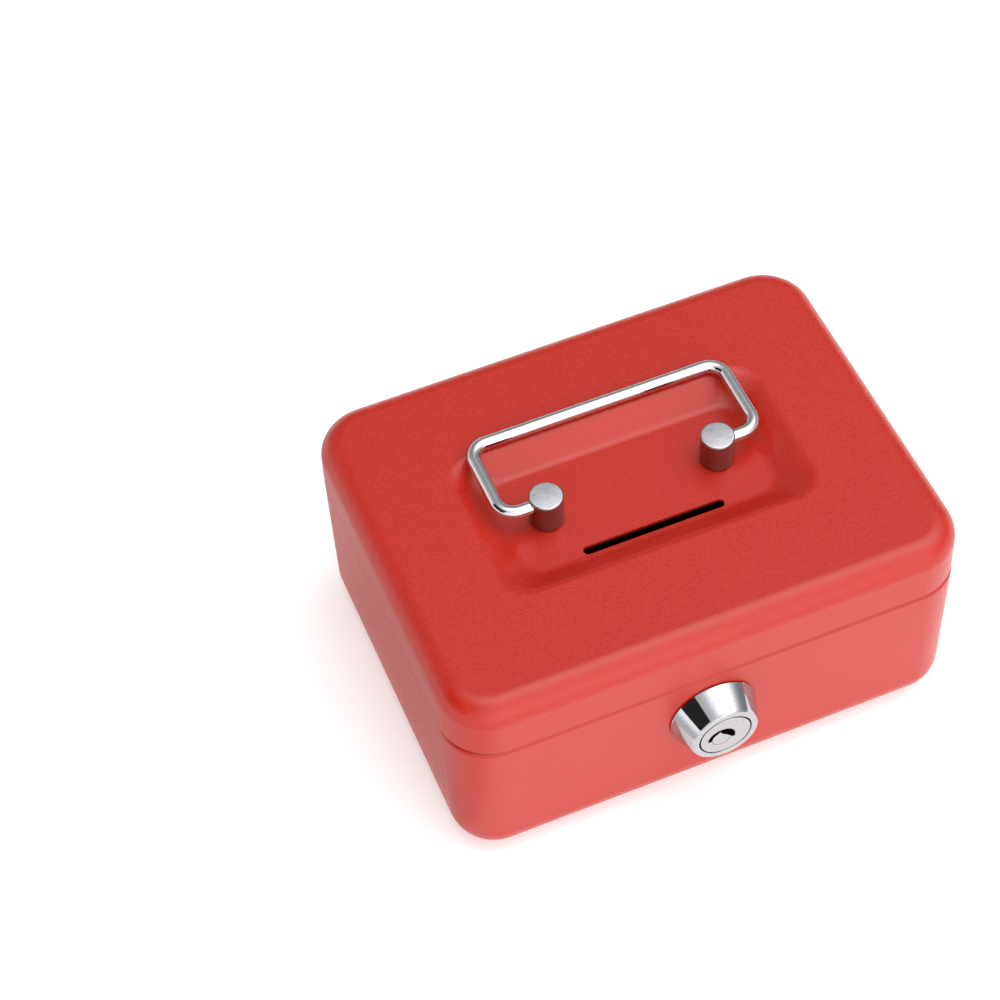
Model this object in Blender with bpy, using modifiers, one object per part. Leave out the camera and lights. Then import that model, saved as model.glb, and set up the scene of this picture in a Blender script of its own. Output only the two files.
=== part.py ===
"""Small steel cash box with a coin slot, a folding wire bail handle and a turning-disc lock.

Metres, +Z up, front of the box towards -Y, origin at the middle of the underside.
Rest pose: lid shut, bail folded to the rear, lock turned to its open position.
"""
import bpy
import bmesh
from math import acos, cos, pi, radians, sin
from mathutils import Matrix, Vector

# ---------------------------------------------------------------- sizes (m)
GAP = 0.0003                  # working gap between pieces that touch
SHEET = 0.0008                # steel sheet of body and lid

BODY_HX, BODY_HY = 0.0625, 0.0475     # half size of the tub at its shoulder
BODY_CORNER = 0.0111
BODY_DRAFT = 0.0080           # metres of inset per metre of height
BODY_FOOT_R = 0.0084          # radius between wall and floor
SHOULDER_Z = 0.0416
NECK_INSET = 0.00155
RIM_Z = 0.0482

LID_HX, LID_HY = 0.06275, 0.04775
LID_CORNER = 0.0124
LID_EDGE_Z = 0.0435
LID_TOP_Z = 0.0583
LID_TOP_R = 0.0057
LID_SIDE_INSET = 0.0001

DISH_HX, DISH_HY, DISH_R = 0.0400, 0.0215, 0.0080    # mouth of the recess
FLOOR_HX, FLOOR_HY, FLOOR_R = 0.0300, 0.0130, 0.0040  # floor of the recess
FLOOR_Z = 0.0540
DISH_BLEND = 0.25             # share of the slope that is rounded at each end
DISH_STEPS = (0.0, 0.125, 0.25, 0.5, 0.75, 0.875, 1.0)

SLOT_LENGTH, SLOT_WIDTH, SLOT_Y = 0.0350, 0.0024, -0.0121

POST_X = 0.0213
POST_R = 0.0040
POST_TOP_Z = 0.0625
POST_CHAMFER = 0.0003
BAIL_AXIS_Z = 0.0602
WIRE_R = 0.0016
BAIL_HOLE_R = 0.00185
BAIL_LEG_END_X = 0.0202
BAIL_ARM_X = 0.0318
BAIL_GRIP_Y = 0.0215
BAIL_BEND_R = 0.0042

HINGE_Y, HINGE_Z = 0.0501, 0.0436
KNUCKLE_R, KNUCKLE_BORE_R, PIN_R = 0.0020, 0.0012, 0.0009
LEAF_T = 0.0008
LEAF_LENGTH = 0.0240
HINGE_X = 0.0360
LEAF_LOW_Z, LEAF_HIGH_Z = 0.0310, 0.0526
BODY_RIVET_Z, LID_RIVET_Z = 0.0355, 0.0500
RIVET_DX = 0.0070
RIVET_R, RIVET_HEAD_R = 0.0009, 0.0017

LOCK_X, LOCK_Z = -0.0014, 0.0280
LOCK_FACE_Y = -0.0544
BEZEL_BASE_R, BEZEL_FACE_R = 0.0106, 0.0081
BEZEL_BASE_Y = -0.0477
BARREL_R, BARREL_END_Y = 0.0080, -0.0353
BARREL_FLAT = 0.0072
PLUG_R, PLUG_BORE_R = 0.0062, 0.0065
KEYWAY_DX, KEYWAY_DZ = -0.0010, -0.0006
KEYWAY_IN_R, KEYWAY_OUT_R = 0.0020, 0.0034
DISC_COUNT, DISC_T, DISC_PITCH, DISC_R = 5, 0.0016, 0.0020, 0.0050
DISC_FIRST_Y = -0.0506
DISC_TURNS = (0.0, 14.0, -8.0, 20.0, 6.0)     # key cut of each disc, degrees
CAM_Y0, CAM_Y1 = -0.0347, -0.0329
CAM_REACH, CAM_HALF = 0.0145, 0.0035
CATCH_X0, CATCH_X1 = 0.0080, 0.0160
CATCH_T = 0.0012

CORNER_STEPS = 8
FILLET_STEPS = 6
ROUND = 40                    # steps of a full turn on larger round pieces
SMALL_ROUND = 20

# ---------------------------------------------------------------- scene set-up
for old in list(bpy.data.objects):
    bpy.data.objects.remove(old, do_unlink=True)


def collection(name):
    """Make a collection and link it to the scene."""
    made = bpy.data.collections.new(name)
    bpy.context.scene.collection.children.link(made)
    return made


PARTS = collection("cash_box")
CUTTERS = collection("cutters")


def material(name, colour, roughness, metallic):
    """Make a Principled material."""
    made = bpy.data.materials.new(name)
    made.use_nodes = True
    shader = made.node_tree.nodes["Principled BSDF"]
    shader.inputs["Base Color"].default_value = (*colour, 1.0)
    shader.inputs["Roughness"].default_value = roughness
    shader.inputs["Metallic"].default_value = metallic
    made.diffuse_color = (*colour, 1.0)
    return made


RED = material("red_powder_coat", (0.60, 0.035, 0.020), 0.42, 0.0)
CHROME = material("chrome_plate", (0.80, 0.80, 0.81), 0.10, 1.0)
BRUSHED = material("brushed_steel", (0.55, 0.55, 0.57), 0.32, 1.0)
ZINC = material("zinc_plated_steel", (0.62, 0.63, 0.62), 0.35, 1.0)
BRASS = material("brass", (0.72, 0.52, 0.22), 0.30, 1.0)

# ---------------------------------------------------------------- building tools


def place(name, mesh, mat, into=None):
    """Wrap a mesh in a named object of the parts collection."""
    made = bpy.data.objects.new(name, mesh)
    (into or PARTS).objects.link(made)
    mesh.name = name
    mesh.materials.clear()
    if mat is not None:
        mesh.materials.append(mat)
    return made


def finish(bm, name):
    """Weld, turn the faces outwards and store a working mesh."""
    bmesh.ops.remove_doubles(bm, verts=bm.verts, dist=1e-7)
    bmesh.ops.recalc_face_normals(bm, faces=bm.faces)
    mesh = bpy.data.meshes.new(name)
    bm.to_mesh(mesh)
    bm.free()
    return mesh


def corner_ring(hx, hy, radius, z):
    """Points of a rectangle with rounded corners, at one height."""
    points = []
    for sx, sy, start in ((1, 1, 0), (-1, 1, 90), (-1, -1, 180), (1, -1, 270)):
        for step in range(CORNER_STEPS + 1):
            a = radians(start + 90 * step / CORNER_STEPS)
            x = sx * (hx - radius) + radius * cos(a)
            y = sy * (hy - radius) + radius * sin(a)
            points.append((x, y, z))
    return points


def loft(name, rings, mat):
    """Skin a run of unlike rounded-rectangle sections and cap both ends."""
    bm = bmesh.new()
    rows = [[bm.verts.new(p) for p in ring] for ring in rings]
    count = len(rows[0])
    for low, high in zip(rows, rows[1:]):
        for i in range(count):
            j = (i + 1) % count
            bm.faces.new((low[i], low[j], high[j], high[i]))
    bm.faces.new(list(reversed(rows[0])))
    bm.faces.new(rows[-1])
    return place(name, finish(bm, name), mat)


def evaluated_mesh(obj, name):
    """Mesh of an object with its modifiers or curve settings worked out."""
    graph = bpy.context.evaluated_depsgraph_get()
    mesh = bpy.data.meshes.new_from_object(obj.evaluated_get(graph))
    bpy.data.objects.remove(obj, do_unlink=True)
    bm = bmesh.new()
    bm.from_mesh(mesh)
    bpy.data.meshes.remove(mesh)
    return finish(bm, name)


def to_frame(mesh, origin, x_axis, y_axis, z_axis):
    """Carry a mesh from its drawing axes to world axes."""
    turn = Matrix((x_axis, y_axis, z_axis)).transposed().to_4x4()
    mesh.transform(Matrix.Translation(Vector(origin)) @ turn)
    return mesh


ALONG_Y = ((0, 0, 1), (1, 0, 0), (0, 1, 0))      # drawing z becomes world y
ALONG_X = ((0, 1, 0), (0, 0, 1), (1, 0, 0))      # drawing z becomes world x
UPRIGHT = ((1, 0, 0), (0, 1, 0), (0, 0, 1))


def revolve(name, profile, mat, origin, frame, steps=ROUND, into=None):
    """Turn a closed profile of (radius, height) once around the drawing z axis."""
    mesh = bpy.data.meshes.new(name)
    edges = [(i, (i + 1) % len(profile)) for i in range(len(profile))]
    on_axis = [r < 1e-9 for r, _ in profile]
    edges = [e for e in edges if not (on_axis[e[0]] and on_axis[e[1]])]
    mesh.from_pydata([(r, 0.0, h) for r, h in profile], edges, [])
    draft = bpy.data.objects.new(name + "_draft", mesh)
    PARTS.objects.link(draft)
    screw = draft.modifiers.new("turn", "SCREW")
    screw.steps = steps
    screw.render_steps = steps
    screw.use_merge_vertices = True
    screw.merge_threshold = 1e-6
    bpy.context.view_layer.update()
    mesh = to_frame(evaluated_mesh(draft, name), origin, *frame)
    return place(name, mesh, mat, into)


def slab(name, outline, holes, depth, mat, origin, frame, into=None):
    """Extrude a flat outline, with holes, along the drawing z axis from 0 to depth."""
    curve = bpy.data.curves.new(name, "CURVE")
    curve.dimensions = "2D"
    curve.fill_mode = "BOTH"
    curve.extrude = depth / 2
    for loop in [outline] + holes:
        spline = curve.splines.new("POLY")
        spline.points.add(len(loop) - 1)
        for point, (x, y) in zip(spline.points, loop):
            point.co = (x, y, 0.0, 1.0)
        spline.use_cyclic_u = True
    draft = bpy.data.objects.new(name + "_draft", curve)
    PARTS.objects.link(draft)
    bpy.context.view_layer.update()
    mesh = evaluated_mesh(draft, name)
    mesh.transform(Matrix.Translation((0, 0, depth / 2)))
    return place(name, to_frame(mesh, origin, *frame), mat, into)


def box_cutter(name, low, high):
    """Block used to cut another piece."""
    bm = bmesh.new()
    bmesh.ops.create_cube(bm, size=1.0)
    size = Vector(high) - Vector(low)
    middle = (Vector(high) + Vector(low)) / 2
    bmesh.ops.scale(bm, vec=size, verts=bm.verts)
    bmesh.ops.translate(bm, vec=middle, verts=bm.verts)
    return place(name, finish(bm, name), None, CUTTERS)


def cut(target, *cutters):
    """Take each cutter away from the target with a live Boolean."""
    for cutter in cutters:
        cutter.hide_render = True
        cutter.display_type = "WIRE"
        step = target.modifiers.new("cut_" + cutter.name, "BOOLEAN")
        step.operation = "DIFFERENCE"
        step.solver = "EXACT"
        step.object = cutter
    return target


def circle(radius, steps, cx=0.0, cy=0.0):
    """Points of a circle."""
    turn = [2 * pi * i / steps for i in range(steps)]
    return [(cx + radius * cos(a), cy + radius * sin(a)) for a in turn]


def arc(cx, cy, radius, start, end, steps):
    """Points of an arc between two angles in degrees."""
    turn = [radians(start + (end - start) * i / steps) for i in range(steps + 1)]
    return [(cx + radius * cos(a), cy + radius * sin(a)) for a in turn]


def ring_profile(r_in, r_out, h0, h1, bevel=0.0):
    """Profile of a plain ring with small bevels on its outer edges."""
    return [(r_out - bevel, h1), (r_out, h1 - bevel), (r_out, h0 + bevel),
            (r_out - bevel, h0), (r_in, h0), (r_in, h1)]


def hang_on(joint, *pieces):
    """Parent pieces to the empty that stands on their joint axis."""
    for piece in pieces:
        piece.parent = joint
        piece.matrix_parent_inverse = joint.matrix_world.inverted()


def joint_empty(name, location):
    """Empty on a joint axis."""
    made = bpy.data.objects.new(name, None)
    made.location = location
    made.empty_display_size = 0.01
    PARTS.objects.link(made)
    bpy.context.view_layer.update()
    return made

# ---------------------------------------------------------------- body shell


def body_ring(inset, z):
    """Section of the tub, set in from the wall line at the shoulder."""
    inset = inset + BODY_DRAFT * max(0.0, SHOULDER_Z - z)
    return corner_ring(BODY_HX - inset, BODY_HY - inset, BODY_CORNER - inset, z)


def foot_sections(radius):
    """Insets and heights round the bottom edge, floor side first."""
    turns = [radians(90 * i / FILLET_STEPS) for i in range(FILLET_STEPS + 1)]
    inset = [BODY_FOOT_R - radius * sin(a) for a in turns]
    height = [BODY_FOOT_R - radius * cos(a) for a in turns]
    return list(zip(inset, height))


SHOULDER = ((0.0, 0.0416), (0.00010, 0.0420), (0.00032, 0.04235), (0.00066, 0.04265),
            (0.00110, 0.0429), (0.00142, 0.0432), (NECK_INSET, 0.0436))


def body_sections():
    """Whole run of tub sections: outside going up, inside coming down."""
    outside = foot_sections(BODY_FOOT_R) + list(SHOULDER)
    outside.append((NECK_INSET, RIM_Z - 0.0002))
    rim = [(NECK_INSET + 0.0002, RIM_Z), (NECK_INSET + SHEET - 0.0002, RIM_Z)]
    inside = [(NECK_INSET + SHEET, RIM_Z - 0.0002)]
    inside += [(i + SHEET, z - 0.0002) for i, z in reversed(SHOULDER)]
    inside += list(reversed(foot_sections(BODY_FOOT_R - SHEET)))
    return [body_ring(i, z) for i, z in outside + rim + inside]


def lock_hole_cutter():
    """Round hole with two flats through the front wall, for the lock barrel."""
    r, flat = BARREL_R + GAP, BARREL_FLAT + GAP
    side = acos(flat / r) * 180 / pi
    outline = arc(0, 0, r, side, 180 - side, 12) + arc(0, 0, r, 180 + side, 360 - side, 12)
    turned = [(z, x) for x, z in outline]
    return slab("cut_lock_hole", turned, [], 0.010, None,
                (LOCK_X, -0.051, LOCK_Z), ALONG_Y, CUTTERS)


def rivet_hole(name, x, z):
    """Round hole through wall and hinge leaf."""
    profile = [(RIVET_R + GAP, 0.006), (RIVET_R + GAP, 0.0), (0.0, 0.0), (0.0, 0.006)]
    return revolve(name, profile, None, (x, 0.0445, z), ALONG_Y, SMALL_ROUND, CUTTERS)


def side_name(side):
    """Left is -X, right is +X."""
    return "left" if side < 0 else "right"


body_shell = loft("body_shell", body_sections(), RED)
cut(body_shell, lock_hole_cutter())

# ---------------------------------------------------------------- lid shell


def lid_ring(inset, z):
    """Section of the lid's skirt and rounded shoulder."""
    return corner_ring(LID_HX - inset, LID_HY - inset, LID_CORNER - inset, z)


def dish_fall(t):
    """Share of the dish depth reached at share t of the slope, rounded at both ends."""
    b = DISH_BLEND
    if t < b:
        return t * t / (2 * b * (1 - b))
    if t > 1 - b:
        return 1 - (1 - t) ** 2 / (2 * b * (1 - b))
    return (t - b / 2) / (1 - b)


def dish_rings(under):
    """Sections of the recess; `under` lowers them to the inside of the sheet."""
    rings = []
    for t in DISH_STEPS:
        hx = DISH_HX + (FLOOR_HX - DISH_HX) * t + under * 0.22
        hy = DISH_HY + (FLOOR_HY - DISH_HY) * t + under * 0.22
        r = DISH_R + (FLOOR_R - DISH_R) * t
        z = LID_TOP_Z - (LID_TOP_Z - FLOOR_Z) * dish_fall(t) - under
        rings.append(corner_ring(hx, hy, r, z))
    return rings


def lid_shoulder(radius, inset):
    """Rounded edge between skirt and top."""
    turns = [radians(90 * i / FILLET_STEPS) for i in range(FILLET_STEPS + 1)]
    base_z = LID_TOP_Z - LID_TOP_R
    return [(inset + radius * (1 - cos(a)), base_z + radius * sin(a)) for a in turns]


def lid_sections():
    """Whole run of lid sections: outside from the recess floor down, inside going up."""
    lip = 0.00015
    outside = [(lip, LID_EDGE_Z), (0.0, LID_EDGE_Z + lip)]
    outside += lid_shoulder(LID_TOP_R, LID_SIDE_INSET)
    inside = [(SHEET - lip, LID_EDGE_Z), (SHEET, LID_EDGE_Z + lip)]
    inside += lid_shoulder(LID_TOP_R - SHEET, LID_SIDE_INSET + SHEET)
    upper = [lid_ring(i, z) for i, z in outside] + dish_rings(0.0)
    lower = [lid_ring(i, z) for i, z in inside] + dish_rings(SHEET)
    return list(reversed(upper)) + lower


def coin_slot_cutter():
    """Long hole with round ends through the recess floor."""
    r, reach = SLOT_WIDTH / 2, (SLOT_LENGTH - SLOT_WIDTH) / 2
    outline = arc(reach, 0, r, -90, 90, 8) + arc(-reach, 0, r, 90, 270, 8)
    return slab("cut_coin_slot", outline, [], 0.010, None,
                (0, SLOT_Y, FLOOR_Z - 0.005), UPRIGHT, CUTTERS)


def post_hole_cutter(side):
    """Hole in the recess floor for a post screw."""
    profile = [(0.0018, 0.004), (0.0018, 0.0), (0.0, 0.0), (0.0, 0.004)]
    return revolve("cut_post_hole_" + side_name(side), profile, None,
                   (side * POST_X, 0, FLOOR_Z - 0.003), UPRIGHT, SMALL_ROUND, CUTTERS)


lid_shell = loft("lid_shell", lid_sections(), RED)
cut(lid_shell, coin_slot_cutter(), post_hole_cutter(-1), post_hole_cutter(1))

# ---------------------------------------------------------------- hinges


def body_leaf_outline():
    """Side outline of the fixed leaf: plate, small set-off and rolled knuckle."""
    y_low, y_tan = 0.04775, HINGE_Y - KNUCKLE_R
    meet = acos((y_tan + LEAF_T - HINGE_Y) / KNUCKLE_R) * 180 / pi
    points = [(y_low, LEAF_LOW_Z), (y_low, 0.0388), (y_tan, 0.0408)]
    points += arc(HINGE_Y, HINGE_Z, KNUCKLE_R, 180, -meet, 20)
    points += [(y_tan + LEAF_T, 0.0408), (y_low + LEAF_T, 0.0388), (y_low + LEAF_T, LEAF_LOW_Z)]
    return points


def lid_leaf_outline():
    """Side outline of the moving leaf: rolled knuckle and straight plate."""
    y_tan = HINGE_Y - KNUCKLE_R
    meet = acos((y_tan + LEAF_T - HINGE_Y) / KNUCKLE_R) * 180 / pi
    points = [(y_tan, LEAF_HIGH_Z)]
    points += arc(HINGE_Y, HINGE_Z, KNUCKLE_R, 180, 360 + meet, 20)
    points += [(y_tan + LEAF_T, LEAF_HIGH_Z)]
    return points


def hinge_leaf(name, outline, x, low_x, high_x):
    """Leaf of one hinge; knuckle metal between low_x and high_x is cut away."""
    bore = circle(KNUCKLE_BORE_R, 16, HINGE_Y, HINGE_Z)
    leaf = slab(name, outline, [bore], LEAF_LENGTH, ZINC, (x - LEAF_LENGTH / 2, 0, 0), ALONG_X)
    for number, (x0, x1) in enumerate(zip(low_x, high_x)):
        reach = KNUCKLE_R + GAP
        notch = box_cutter("cut_%s_%d" % (name, number),
                           (x + x0, 0.0460, HINGE_Z - reach), (x + x1, 0.0540, HINGE_Z + reach))
        cut(leaf, notch)
    return leaf


def hinge_pin(name, x):
    """Pin with a flattened head at each end."""
    half = LEAF_LENGTH / 2
    r, head = PIN_R, 0.0016
    profile = [(0, half + 0.0008), (head - 0.0002, half + 0.0008), (head, half + 0.0006),
               (head, half + GAP), (r, half + GAP), (r, -half - GAP), (head, -half - GAP),
               (head, -half - 0.0006), (head - 0.0002, -half - 0.0008), (0, -half - 0.0008)]
    return revolve(name, profile, ZINC, (x, HINGE_Y, HINGE_Z), ALONG_X, SMALL_ROUND)


def rivet(name, x, z, wall_in, leaf_out):
    """Rivet with a domed head on the leaf and a flat closed head inside the wall."""
    y0, y1 = wall_in - GAP, leaf_out + GAP
    head = RIVET_HEAD_R
    profile = [(0, y1 + 0.0009), (head * 0.55, y1 + 0.0008), (head * 0.88, y1 + 0.0005),
               (head, y1), (RIVET_R, y1), (RIVET_R, y0), (head * 0.92, y0),
               (head * 0.85, y0 - 0.0006), (0, y0 - 0.0006)]
    return revolve(name, profile, ZINC, (x, 0, z), ALONG_Y, SMALL_ROUND)


def build_hinge(side):
    """Both leaves, the pin and four rivets of one hinge."""
    name, x = side_name(side), side * HINGE_X
    half, middle = LEAF_LENGTH / 2, 0.0040
    fixed = hinge_leaf("hinge_leaf_body_" + name, body_leaf_outline(), x,
                       (-middle - GAP / 2,), (middle + GAP / 2,))
    moving = hinge_leaf("hinge_leaf_lid_" + name, lid_leaf_outline(), x,
                        (-half - 0.001, middle - GAP / 2), (-middle + GAP / 2, half + 0.001))
    pin = hinge_pin("hinge_pin_" + name, x)
    fixed_rivets, moving_rivets = [], []
    for number, dx in ((1, -RIVET_DX), (2, RIVET_DX)):
        tag = "%s_%d" % (name, number)
        low_hole = rivet_hole("cut_body_rivet_" + tag, x + dx, BODY_RIVET_Z)
        high_hole = rivet_hole("cut_lid_rivet_" + tag, x + dx, LID_RIVET_Z)
        cut(fixed, low_hole)
        cut(body_shell, low_hole)
        cut(moving, high_hole)
        cut(lid_shell, high_hole)
        fixed_rivets.append(rivet("body_rivet_" + tag, x + dx, BODY_RIVET_Z,
                                  0.04665, 0.04775 + LEAF_T))
        moving_rivets.append(rivet("lid_rivet_" + tag, x + dx, LID_RIVET_Z,
                                   0.04685, HINGE_Y - KNUCKLE_R + LEAF_T))
    return moving, moving_rivets


left_leaf, left_rivets = build_hinge(-1)
right_leaf, right_rivets = build_hinge(1)

# ---------------------------------------------------------------- handle


def handle_post(side):
    """Round post that stands on the recess floor and carries one end of the bail."""
    name = side_name(side)
    foot = FLOOR_Z + GAP
    r, c = POST_R, POST_CHAMFER
    profile = [(0, POST_TOP_Z), (r - c, POST_TOP_Z), (r, POST_TOP_Z - c), (r, foot),
               (0.0018, foot), (0.0018, 0.0576), (0, 0.0576)]
    post = revolve("handle_post_" + name, profile, CHROME, (side * POST_X, 0, 0), UPRIGHT)
    bore = [(BAIL_HOLE_R, 0.0060), (BAIL_HOLE_R, 0.0), (0, 0), (0, 0.0060)]
    inner = BAIL_LEG_END_X - GAP
    start = inner if side > 0 else -inner - 0.0060
    cutter = revolve("cut_bail_hole_" + name, bore, None, (start, 0, BAIL_AXIS_Z),
                     ALONG_X, 24, CUTTERS)
    return cut(post, cutter)


def post_washer(side):
    """Plain washer between the screw head and the lid."""
    top = FLOOR_Z - SHEET - GAP
    profile = ring_profile(0.0018, 0.0036, top - 0.0008, top, 0.0001)
    return revolve("post_washer_" + side_name(side), profile, ZINC,
                   (side * POST_X, 0, 0), UPRIGHT, 24)


def post_screw(side):
    """Pan-head screw that pulls the post down on to the lid."""
    name = side_name(side)
    top = FLOOR_Z - SHEET - 2 * GAP - 0.0008
    r, head = 0.0015, 0.0029
    profile = [(0, 0.0572), (r - 0.0002, 0.0572), (r, 0.0570), (r, top), (head, top),
               (head, top - 0.0010), (head * 0.72, top - 0.0018), (0, top - 0.0018)]
    screw = revolve("post_screw_" + name, profile, ZINC, (side * POST_X, 0, 0), UPRIGHT, 24)
    slot = box_cutter("cut_post_screw_" + name,
                      (side * POST_X - 0.0040, -0.0004, top - 0.0030),
                      (side * POST_X + 0.0040, 0.0004, top - 0.0009))
    return cut(screw, slot)


def bail_path():
    """Centre line of the bent wire, right half first, in its own plane."""
    r = BAIL_BEND_R
    right = [(BAIL_LEG_END_X, 0.0)]
    right += arc(BAIL_ARM_X - r, r, r, -90, 0, 6)
    right += arc(BAIL_ARM_X - r, BAIL_GRIP_Y - r, r, 0, 90, 6)
    return right + [(-x, y) for x, y in reversed(right)]


def handle_bail():
    """Round wire swept along the bail's centre line."""
    curve = bpy.data.curves.new("handle_bail", "CURVE")
    curve.dimensions = "3D"
    curve.bevel_depth = WIRE_R
    curve.bevel_resolution = 3
    curve.use_fill_caps = True
    path = bail_path()
    spline = curve.splines.new("POLY")
    spline.points.add(len(path) - 1)
    for point, (x, y) in zip(spline.points, path):
        point.co = (x, y, BAIL_AXIS_Z, 1.0)
    draft = bpy.data.objects.new("handle_bail_draft", curve)
    PARTS.objects.link(draft)
    bpy.context.view_layer.update()
    return place("handle_bail", evaluated_mesh(draft, "handle_bail"), CHROME)


posts = [handle_post(-1), handle_post(1)]
washers = [post_washer(-1), post_washer(1)]
screws = [post_screw(-1), post_screw(1)]
bail = handle_bail()

# ---------------------------------------------------------------- lid catch


def lid_catch():
    """Strap bent at both ends: flange under the lid top, foot under the lock cam."""
    t = CATCH_T
    front, back = -0.0410, -0.0308
    top = LID_TOP_Z - SHEET - GAP
    foot_top = LOCK_Z - CAM_HALF - GAP
    foot_front = CAM_Y0 - 0.0008
    b = 0.0010
    outline = [(front, top), (back - b, top), (back, top - b), (back, foot_top - t + b),
               (back - b, foot_top - t), (foot_front, foot_top - t), (foot_front, foot_top),
               (back - t, foot_top), (back - t, top - t), (front, top - t)]
    return slab("lid_catch", outline, [], CATCH_X1 - CATCH_X0, ZINC, (CATCH_X0, 0, 0), ALONG_X)


catch = lid_catch()

# ---------------------------------------------------------------- lock, fixed pieces
LOCK_AT = (LOCK_X, 0, LOCK_Z)


def lock_housing():
    """Tapered bezel and barrel in one piece, bored for the plug."""
    e = 0.0003
    profile = [(PLUG_BORE_R, LOCK_FACE_Y), (BEZEL_FACE_R - e, LOCK_FACE_Y),
               (BEZEL_FACE_R, LOCK_FACE_Y + e), (BEZEL_BASE_R, BEZEL_BASE_Y - e),
               (BEZEL_BASE_R - e, BEZEL_BASE_Y), (BARREL_R, BEZEL_BASE_Y),
               (BARREL_R, BARREL_END_Y - e), (BARREL_R - e, BARREL_END_Y),
               (0.0041, BARREL_END_Y), (0.0041, -0.0370), (PLUG_BORE_R, -0.0370)]
    housing = revolve("lock_housing", profile, CHROME, LOCK_AT, ALONG_Y, 48)
    behind = BEZEL_BASE_Y + 0.0001
    for side in (-1, 1):
        near, far = LOCK_X + side * BARREL_FLAT, LOCK_X + side * 0.012
        flat = box_cutter("cut_barrel_flat_" + side_name(side),
                          (min(near, far), behind, LOCK_Z - 0.010),
                          (max(near, far), BARREL_END_Y + 0.001, LOCK_Z + 0.010))
        cut(housing, flat)
    groove = box_cutter("cut_bar_groove", (LOCK_X - 0.0008, -0.0506, LOCK_Z - 0.0075),
                        (LOCK_X + 0.0008, -0.0392, LOCK_Z - 0.0060))
    return cut(housing, groove)


def lock_washer():
    """Spring washer between the nut and the front wall."""
    profile = ring_profile(BARREL_R + GAP, 0.0100, -0.0463, -0.0455, 0.0001)
    return revolve("lock_washer", profile, ZINC, LOCK_AT, ALONG_Y)


def lock_nut():
    """Thin hexagon nut that clamps the lock to the front wall."""
    nut = slab("lock_nut", circle(0.0106, 6), [circle(BARREL_R + GAP, 32)], 0.0026, ZINC,
               (LOCK_X, -0.0452, LOCK_Z), ALONG_Y)
    return nut


# ---------------------------------------------------------------- lock, turning pieces


def keyway_outline(turn, start=-12, end=180, slack=0.0):
    """Crescent keyway in drawing axes of a piece that lies along Y (z first, x second)."""
    cx, cz = KEYWAY_DX, KEYWAY_DZ
    outer = arc(cx, cz, KEYWAY_OUT_R + slack, start, end, 14)
    inner = arc(cx, cz, KEYWAY_IN_R - slack, end, start, 10)
    a = radians(turn)
    turned = [(x * cos(a) - z * sin(a), x * sin(a) + z * cos(a)) for x, z in outer + inner]
    return [(z, x) for x, z in turned]


def lock_plug():
    """Turning plug: keyed face, side-open chamber for the discs, neck and square drive."""
    e, neck = 0.0002, 0.0038
    profile = [(0, LOCK_FACE_Y), (PLUG_R - e, LOCK_FACE_Y), (PLUG_R, LOCK_FACE_Y + e),
               (PLUG_R, -0.0373), (neck, -0.0373), (neck, -0.0316), (0, -0.0316)]
    plug = revolve("lock_plug", profile, CHROME, LOCK_AT, ALONG_Y)
    y0, y1 = -0.0518, -0.0392
    half = DISC_R + GAP
    chamber = arc(0, 0, half, 0, 180, 16) + [(-half, -0.0080), (half, -0.0080)]
    room = slab("cut_disc_room", chamber, [], y1 - y0, None,
                (LOCK_X, y0, LOCK_Z), ALONG_Y, CUTTERS)
    bar_slot = box_cutter("cut_bar_slot", (LOCK_X + 0.0040, -0.0506, LOCK_Z - 0.0008),
                          (LOCK_X + 0.0075, -0.0400, LOCK_Z + 0.0008))
    keyway = slab("cut_keyway", keyway_outline(0), [], 0.0040, None,
                  (LOCK_X, -0.0550, LOCK_Z), ALONG_Y, CUTTERS)
    bore = [(0.0016, 0.0060), (0.0016, 0.0), (0, 0), (0, 0.0060)]
    tapping = revolve("cut_drive_bore", bore, None, (LOCK_X, -0.0360, LOCK_Z),
                      ALONG_Y, SMALL_ROUND, CUTTERS)
    cut(plug, room, bar_slot, keyway, tapping)
    half_square, far = 0.0026, 0.0060
    sides = (((half_square, -far), (far, far)), ((-far, -far), (-half_square, far)),
             ((-far, half_square), (far, far)), ((-far, -far), (far, -half_square)))
    for number, ((x0, z0), (x1, z1)) in enumerate(sides):
        flat = box_cutter("cut_drive_flat_%d" % number,
                          (LOCK_X + x0, BARREL_END_Y + 0.0003, LOCK_Z + z0),
                          (LOCK_X + x1, -0.0300, LOCK_Z + z1))
        cut(plug, flat)
    return plug


def disc_outline():
    """Round disc with a square notch on +X for the locking bar (drawing x is world z)."""
    notch_half, notch_depth = 0.0008, 0.0012
    open_angle = 9.3
    edge = arc(0, 0, DISC_R, 90 + open_angle, 450 - open_angle, 32)
    floor = DISC_R - notch_depth
    return edge + [(notch_half, floor), (-notch_half, floor)]


def tumbler_disc(number):
    """One disc; its key opening is turned by its own key cut."""
    y = DISC_FIRST_Y + (number - 1) * DISC_PITCH - DISC_T / 2
    opening = keyway_outline(0, -12 - DISC_TURNS[number - 1] / 2, 180 + DISC_TURNS[number - 1] / 2)
    return slab("tumbler_disc_%d" % number, disc_outline(), [opening], DISC_T, BRASS,
                (LOCK_X, y, LOCK_Z), ALONG_Y)


def locking_bar():
    """Bar that lies in the notches of all the discs."""
    x0, x1, half = LOCK_X + 0.0042, LOCK_X + 0.0060, 0.0005
    bm = bmesh.new()
    bmesh.ops.create_cube(bm, size=1.0)
    bmesh.ops.scale(bm, vec=(x1 - x0, 0.0100, 2 * half), verts=bm.verts)
    bmesh.ops.translate(bm, vec=((x0 + x1) / 2, -0.0453, LOCK_Z), verts=bm.verts)
    return place("locking_bar", finish(bm, "locking_bar"), BRASS)


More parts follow.
